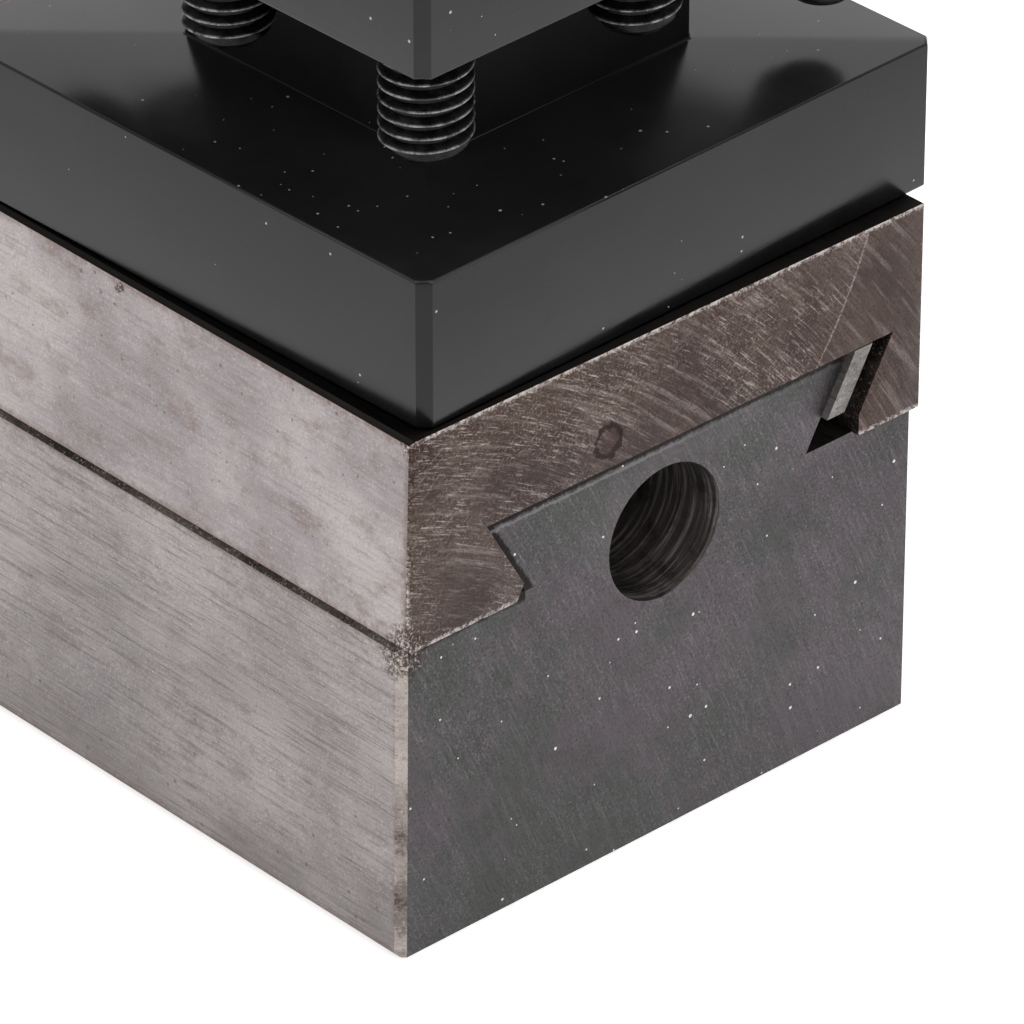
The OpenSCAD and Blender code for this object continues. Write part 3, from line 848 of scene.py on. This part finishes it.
@dataclass
class Ways:
    """The iron base and the top slide that rides on its dovetail."""

    edge_mm: float = 0.22
    bore_axis: tuple[float, float] = (-1.5, 30.15)
    bore_radius: float = 6.6
    shoulder: float = 31.0

    def build(self) -> None:
        """Builds and dresses the base, the slide, the gib and the end bracket."""
        self.base()
        self.slide()
        self.bracket()

    def base(self) -> None:
        """The plain base block with its male dovetail."""
        low, high = box_mm("base_block")
        body_high = (high[0], high[1], self.shoulder)
        corner = (high[0], low[1] + 0.4, self.shoulder - 0.6, 3.4)
        side = GroundIron("ground_cast_iron_base_side", "8a8484", roughness=0.42, pale="a09a99",
                          dark="635c5c", stain="6f615d", lines=1.15, mottle=0.9, low=low, high=body_high,
                          foot=0.35, chips=(corner,))
        end = MilledIron("ground_cast_iron_base_end", "5a5458", roughness=0.48, pale="848083",
                         dark="4d4f4d", stain="3f393b", arcs_a=(-460.0, -185.0), arcs_b=(-330.0, 60.0),
                         reach=330.0, marks=0.26, cross=0.3, rust=0.3,
                         joint_shade=(38.65, -17.55, self.shoulder), chips=(corner,))
        way = GroundIron("scraped_cast_iron_way", "8c8683", roughness=0.3, pale="a39d9a", dark="5f5957")
        bore = BoredIron("bored_cast_iron", "7c7775", roughness=0.4)
        worn = GroundIron("rubbed_cast_iron_edge", "6f6662", roughness=0.5, pale="b5aca6", dark="463c38",
                          stain="40332e", lines=0.2, mottle=2.2, chips=(corner,))
        piece = machined_copy("base_block", self.edge_mm)
        crevice_shade = self.crevice_shade()

        def choose(normal: Vector, centre: Vector) -> int:
            apart = math.hypot(centre.y - self.bore_axis[0], centre.z - self.bore_axis[1])
            if abs(normal.x) < 0.3 and apart < self.bore_radius and low[0] + 1 < centre.x:
                return 3
            if abs(normal.x) > 0.3 and abs(normal.y) > 0.3 and centre.y < low[1] + 3:
                return 4
            # Painted shade: the base's top edge under the slide's overhang takes the dark crevice
            # finish.
            if centre.z > self.shoulder - 0.7 and normal.y < -0.2 and centre.y < low[1] + 3:
                return 5
            if abs(normal.x) > 0.7:
                return 1
            if centre.z > self.shoulder - 0.1:
                return 2
            return 0

        put(piece, (side, end, way, bore, worn, crevice_shade), "base_block", "base", choose)

    def crevice_shade(self) -> Finish:
        """Gives the finish of the oily, burred places where the two castings meet, painted near black as
        shade in the joint and in the gap under the gib.
        """
        return GroundIron("oily_cast_iron_crevice_painted_shade", "2a2523", roughness=0.5, pale="5a524e",
                          dark="141110", stain="120e0d", lines=0.1, mottle=1.6)

    def slide(self) -> None:
        """The top slide with its female dovetail."""
        low, high = box_mm("top_slide")
        scars = ((high[0], low[1] + 0.4, high[2], 2.0), (high[0], low[1], low[2] + 0.3, 3.0),
                 (-5.7, low[1] + 0.6, 50.2, 0.75))
        side = GroundIron("ground_cast_iron_slide_side", "8f8889", roughness=0.4, pale="aaa3a3",
                          dark="746c6b", stain="77665f", lines=0.45, mottle=1.25, low=low, high=high,
                          chips=scars)
        end = MilledIron("milled_cast_iron_slide_end", "50443f", roughness=0.44, pale="9c918c",
                         dark="3e3432", low=low, high=high, pit=(-9.0, 42.6),
                         sweep=(-20.0, 66.0, 43.9), chips=scars[:2])
        # The top is painted near black round the post, for the post's shadow and reflection on it, with
        # oil.
        top = GroundIron("oiled_cast_iron_slide_top_painted_shade", "5d5653", roughness=0.32, pale="6f6764",
                         dark="39332f", stain="3a302b", lines=0.8, oil_and_post_shade=34.0)
        piece = machined_copy("top_slide", self.edge_mm)

        def choose(normal: Vector, centre: Vector) -> int:
            if abs(normal.x) > 0.7:
                return 1
            if centre.z > high[2] - 0.3 and normal.z > 0.7:
                return 2
            # Painted shade: the gap under the gib and the slide's lower edge take the dark crevice
            # finish.
            pocket = 18 < centre.y < 25 and centre.z < 40
            if pocket or (centre.z < low[2] + 0.5 and normal.y < -0.2 and centre.y < low[1] + 2):
                return 3
            return 0

        put(piece, (side, end, top, self.crevice_shade()), "top_slide", "slide", choose)
        steel = GroundIron("ground_steel_gib", "6c6967", roughness=0.45, pale="8d8a88", dark="45413f",
                           stain="3b3431", mottle=2.0)
        put(machined_copy("gib_strip", 0.12), (steel,), "gib_strip", "slide")

    def bracket(self) -> None:
        """The end bracket that carries the feed screw."""
        low, high = box_mm("end_bracket")
        side = GroundIron("milled_cast_iron_bracket", "a7a09d", roughness=0.4, low=low, high=high)
        put(machined_copy("end_bracket", 0.35, 3), (side,), "end_bracket", "slide")


@dataclass
class Post:
    """The square post: lower plate, core and upper plate cut from one block."""

    width: float = 60 * MM
    floor: float = 14 * MM
    slot: float = 18.6 * MM
    core: float = 30.8 * MM
    corner: float = 1.0 * MM
    yaw: float = math.radians(1.5)
    inset: float = 7 * MM
    shift: float = 0.8 * MM
    edge: float = 0.28 * MM
    stud_bore: float = 8.05 * MM
    screw_bore: float = 4.05 * MM

    def build(self) -> None:
        """Cuts the post from a block, as it is milled, and dresses it."""
        low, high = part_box("turret_block")
        height = high.z - low.z
        bpy.ops.object.select_all(action="DESELECT")
        bpy.ops.mesh.primitive_cube_add(size=1, location=(0, 0, height / 2))
        piece = fresh("turret_block_machined")
        piece.scale = (self.width, self.width, height)
        settle(piece)
        self.break_corners(piece)
        self.mill_slots(piece)
        self.drill(piece)
        apply_modifier(piece, "BEVEL", width=self.edge, segments=3, limit_method="ANGLE",
                       angle_limit=math.radians(50), use_clamp_overlap=False)
        smooth(piece, 40)
        piece.rotation_euler = (0, 0, self.yaw)
        piece.location = (0, 0, low.z)
        settle(piece)
        side = BlackOxide("black_oxide_steel_milled", "0b0b0c", metallic=0.0, roughness=0.18, wave=0.6,
                          dust=1.8, rub="141516", sheen=0.31)
        flat = BlackOxide("black_oxide_steel_ground", "1d1d1e", metallic=0.0, roughness=0.2, grain=0.2,
                          dust=8.0, rub="232324", sheen=0.5)
        core = BlackOxide("black_oxide_steel_core", "080809", metallic=0.0, roughness=0.3, wave=0.6,
                          dust=0.5, rub="0d0d0e", sheen=0.14)
        reach = self.core / MM * 0.55

        def choose(normal: Vector, centre: Vector) -> int:
            if abs(normal.z) > 0.7:
                return 1
            return 2 if max(abs(centre.x), abs(centre.y)) < reach else 0

        put(piece, (side, flat, core), "turret_block", "post", choose)

    def break_corners(self, piece: Piece) -> None:
        """Chamfers the four upright corners."""
        only(piece)
        mode("EDIT")
        bpy.ops.mesh.select_mode(type="EDGE")
        pick("DESELECT")
        mode("OBJECT")
        for edge in piece.data.edges:
            ends = [piece.data.vertices[i].co for i in edge.vertices]
            edge.select = abs(ends[0].z - ends[1].z) > self.corner
        mode("EDIT")
        bpy.ops.mesh.bevel(offset=self.corner, offset_type="OFFSET", segments=1, affect="EDGES")
        mode("OBJECT")

    def mill_slots(self, piece: Piece) -> None:
        """Bisects the block at the slots' floor and ceiling and draws the band in to the core."""
        only(piece)
        mode("EDIT")
        for height in (self.floor, self.floor + self.slot):
            pick("SELECT")
            bpy.ops.mesh.bisect(plane_co=(0, 0, height), plane_no=(0, 0, 1))
        bpy.ops.mesh.select_mode(type="FACE")
        pick("DESELECT")
        mode("OBJECT")
        for face in piece.data.polygons:
            inside = self.floor < face.center.z < self.floor + self.slot
            face.select = abs(face.normal.z) < 0.5 and inside
        mode("EDIT")
        bpy.ops.mesh.extrude_region_move()
        ratio = self.core / self.width
        bpy.ops.transform.resize(value=(ratio, ratio, 1), center_override=(0, 0, 0))
        mode("OBJECT")

    def drill(self, piece: Piece) -> None:
        """Drills the stud's bore and the eight screw holes through the upper plate."""
        low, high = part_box("turret_block")
        top = high.z - low.z
        cut(piece, cylinder("stud_bore", self.stud_bore, -1 * MM, top + 1 * MM))
        reach = self.width / 2 - self.inset
        for x in (-reach, -self.shift, reach):
            for y in (-reach, self.shift, reach):
                if abs(x) == reach or abs(y) == reach:
                    start = self.floor + self.slot / 2
                    hole = cylinder("screw_hole", self.screw_bore, start, top + 1 * MM, 48)
                    hole.location = (x, y, 0)
                    cut(piece, settle(hole))


@dataclass
class ToolScrews:
    """The square-head screws that clamp the tools."""

    major: float = 8 * MM
    pitch: float = 1.25 * MM
    shank: float = 35 * MM
    head: float = 8 * MM
    count: int = 8
    yaw: float = math.radians(1.5)

    def build(self) -> None:
        """Models one screw, then copies it into each CAD screw's place."""
        rod = ThreadedRod(self.major, self.pitch, self.shank + 0.4 * MM)
        master = rod.build("tool_screw_master")
        cut(master, self.square_head(), "UNION")
        smooth(master, 30)
        rod.mark_crest(master)
        finish = ScrewBlack("black_oxide_screw_steel", "131313", metallic=0.75, roughness=0.32)
        dress(master, (finish,))
        for number in range(1, self.count + 1):
            node = f"tool_screw_{number}"
            low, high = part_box(node)
            piece = master.copy()
            piece.data = master.data.copy()
            piece.name = piece.data.name = f"{node}_threaded"
            bpy.context.scene.collection.objects.link(piece)
            piece.rotation_euler = (0, 0, self.yaw)
            piece.location = ((low.x + high.x) / 2, (low.y + high.y) / 2, low.z)
            settle(piece)
            stand_for(piece, node, node)
        bpy.data.objects.remove(master, do_unlink=True)

    def square_head(self) -> Piece:
        """Forges the square head, with its top edges turned off at 30 degrees."""
        bpy.ops.object.select_all(action="DESELECT")
        bpy.ops.mesh.primitive_cube_add(size=1, location=(0, 0, self.shank + self.head / 2))
        block = fresh("square_head")
        block.scale = (self.head,) * 3
        settle(block)
        bpy.ops.object.select_all(action="DESELECT")
        tall = 16 * MM
        crown = self.head / 2 - 0.4 * MM
        bpy.ops.mesh.primitive_cone_add(vertices=64, radius1=crown + tall * math.sqrt(3), radius2=crown,
                                        depth=tall, location=(0, 0, self.shank + self.head - tall / 2))
        cone = bpy.context.view_layer.objects.active
        cut(block, settle(cone), "INTERSECT")
        return apply_modifier(block, "BEVEL", width=0.18 * MM, segments=2, limit_method="ANGLE",
                              angle_limit=math.radians(50))


@dataclass
class Feed:
    """The feed screw, its handwheel, dial and handle."""

    major: float = 10 * MM
    pitch: float = 1.5 * MM
    axis: tuple[float, float] = (-1.5 * MM, 30.15 * MM)

    def build(self) -> None:
        """Builds the threaded feed screw and dresses what turns with it."""
        self.screw()
        chrome = TurnedSteel("satin_chromed_steel_wheel", "c2c2c0", roughness=0.24, dark="a3a3a1",
                             pitch_mm=0.4)
        for node, edge in (("handwheel", 0.3), ("handwheel_nut", 0.2)):
            put(machined_copy(node, edge, 3), (chrome,), node, "handwheel")
        centre = (self.axis[0] / MM, self.axis[1] / MM)
        edge_x = box_mm("dial_ring")[1][0] - 1.5
        dial = Dial("engraved_satin_chrome_dial", "bdbdbb", roughness=0.27, centre=centre,
                    start_x=edge_x)
        put(machined_copy("dial_ring", 0.15), (dial,), "dial_ring", "dial")
        plastic = MouldedPlastic("moulded_phenolic_black", "0c0c0c", metallic=0.0, roughness=0.22)
        put(machined_copy("handle_grip", 0.4, 3), (plastic,), "handle_grip", "handle")

    def screw(self) -> None:
        """Joins a wound thread to the CAD screw's plain journal and tail."""
        low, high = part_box("feed_screw")
        collar = -96.7 * MM
        rod = ThreadedRod(self.major, self.pitch, high.x - collar, 1.0 * MM, 32)
        piece = rod.build("feed_screw_threaded")
        rod.mark_crest(piece)
        piece.rotation_euler = (0, math.radians(-90), 0)
        piece.location = (high.x, self.axis[0], self.axis[1])
        settle(piece)
        plain = machined_copy("feed_screw", 0.2)
        window = cylinder("journal_window", 12 * MM, low.x - 1 * MM, collar + 0.2 * MM)
        window.rotation_euler = (0, math.radians(90), 0)
        window.location = (0, self.axis[0], self.axis[1])
        cut(plain, settle(window), "INTERSECT")
        cut(piece, plain, "UNION")
        smooth(piece, 30)
        steel = ScrewBlack("turned_steel_feed_screw", "777573", roughness=0.3, crest="c9c9c7")
        put(piece, (steel,), "feed_screw", "handwheel")


@dataclass
class Clamp:
    """The ball lever that clamps the post, and its washer."""

    def build(self) -> None:
        """Dresses the washer, and rounds the lever's hub, arm and knob."""
        chrome = TurnedSteel("satin_chromed_steel_lever", "c6c6c4", roughness=0.2, dark="adadab",
                             axis=Axis.Z)
        for node, edge in (("lever_hub", 0.5), ("lever_arm", 0.3)):
            put(machined_copy(node, edge, 3), (chrome,), node, "lever")
        plastic = MouldedPlastic("moulded_phenolic_knob", "0b0b0b", metallic=0.0, roughness=0.16)
        put(machined_copy("lever_knob", 0.5, 3), (plastic,), "lever_knob", "lever")
        steel = TurnedSteel("turned_steel_washer", "b4b2b0", roughness=0.3, axis=Axis.Z)
        put(machined_copy("clamp_washer", 0.3), (steel,), "clamp_washer", "lever")


@dataclass
class Fasteners:
    """The small screws, nuts, bushes and washers, and what is hidden inside."""

    blacks: dict[str, str] = field(default_factory=lambda: {
        "gib_screws": "slide", "gib_lock_nuts": "slide", "lock_screw": "slide_lock",
        "bracket_screws": "slide"})
    steels: tuple[str, ...] = ("turret_stud", "handwheel_key", "handwheel_washer", "handle_pin",
                               "dial_spring")
    bronzes: tuple[str, ...] = ("feed_nut", "bracket_bush", "thrust_washer_front", "thrust_washer_rear")

    def build(self) -> None:
        """Breaks the edges of what shows and gives the rest its finish in place."""
        black = ScrewBlack("black_oxide_fastener", "151515", metallic=0.6, roughness=0.34)
        for node, body in self.blacks.items():
            put(machined_copy(node, 0.12), (black,), node, body)
        steel = TurnedSteel("turned_bright_steel", "b9b7b4", roughness=0.27)
        bronze = TurnedSteel("turned_bearing_bronze", "b08a4e", roughness=0.32, dark="7d5f34")
        hidden = ((self.steels, steel), (self.bronzes, bronze), (("feed_nut_screw",), black))
        for names, finish in hidden:
            for node in names:
                dress(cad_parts[node], (finish,))


@dataclass
class Studio:
    """A pale table, soft light and the camera."""

    place: tuple[float, float, float] = (0.495794, -0.444061, 0.4294)
    azimuth: float = 47.6035
    elevation: float = 31.7447
    lens: float = 312.87
    aim: tuple[float, float, float] = (0.0, 0.0, 0.04)

    def build(self) -> None:
        """Sets up the camera, the floor, the lamps and the sky."""
        self.camera()
        self.floor()
        self.lamp("key_softbox", (-0.25, -0.75, 0.65), 0.6, 1.8)
        self.lamp("end_softbox", (0.85, 0.1, 0.55), 0.5, 2.2)
        self.lamp("top_softbox", (-0.1, 0.3, 0.95), 0.7, 2.5)
        self.lamp("back_softbox", (-0.8, 0.75, 0.66), 0.9, 1.4)
        world = bpy.context.scene.world or bpy.data.worlds.new("studio")
        bpy.context.scene.world = world
        world.use_nodes = True
        sky = world.node_tree.nodes["Background"]
        sky.inputs[0].default_value = (1.0, 0.995, 0.99, 1.0)
        sky.inputs[1].default_value = 0.5
        bpy.context.scene.view_settings.view_transform = "Standard"
        bpy.context.scene.view_settings.look = "None"

    def camera(self) -> None:
        """Stands the camera at the viewing angle."""
        data = bpy.data.cameras.new("camera")
        camera = bpy.data.objects.new("camera", data)
        bpy.context.scene.collection.objects.link(camera)
        data.lens = self.lens
        data.sensor_width = 36
        data.clip_start = 0.01
        data.clip_end = 20
        camera.location = self.place
        camera.rotation_euler = (math.radians(90 - self.elevation), 0, math.radians(self.azimuth))
        bpy.context.scene.camera = camera

    def floor(self) -> None:
        """Lays the pale table under the base."""
        bpy.ops.object.select_all(action="DESELECT")
        bpy.ops.mesh.primitive_plane_add(size=6, location=(0, 0, CAD_BOX[0].z - 0.0002))
        table = bpy.context.view_layer.objects.active
        table.name = "table"
        paint = bpy.data.materials.new("matt_white_table")
        paint.use_nodes = True
        shader = paint.node_tree.nodes["Principled BSDF"]
        shader.inputs["Base Color"].default_value = linear("f2f2f1")
        shader.inputs["Roughness"].default_value = 0.9
        shader.inputs["Emission Color"].default_value = (1, 1, 1, 1)
        shader.inputs["Emission Strength"].default_value = 0.6
        table.data.materials.append(paint)

    def lamp(self, name: str, place: Sequence[float], size: float, watts: float) -> None:
        """Hangs a square softbox that faces the post's foot.

        Args:
            name: The lamp's name.
            place: Where it hangs, in metres.
            size: Its side.
            watts: Its power.
        """
        data = bpy.data.lights.new(name, "AREA")
        data.size = size
        data.energy = watts
        lamp = bpy.data.objects.new(name, data)
        bpy.context.scene.collection.objects.link(lamp)
        lamp.location = place
        lamp.rotation_euler = (Vector(self.aim) - lamp.location).to_track_quat("-Z", "Y").to_euler()


def main() -> None:
    """Builds the scene, one sub-assembly at a time."""
    logging.basicConfig(level=logging.INFO, format="%(name)s: %(message)s")
    for part in (Studio(), Ways(), Post(), ToolScrews(), Feed(), Clamp(), Fasteners()):
        part.build()
        LOG.info("%s built", type(part).__name__)


if __name__ == "__main__":
    main()
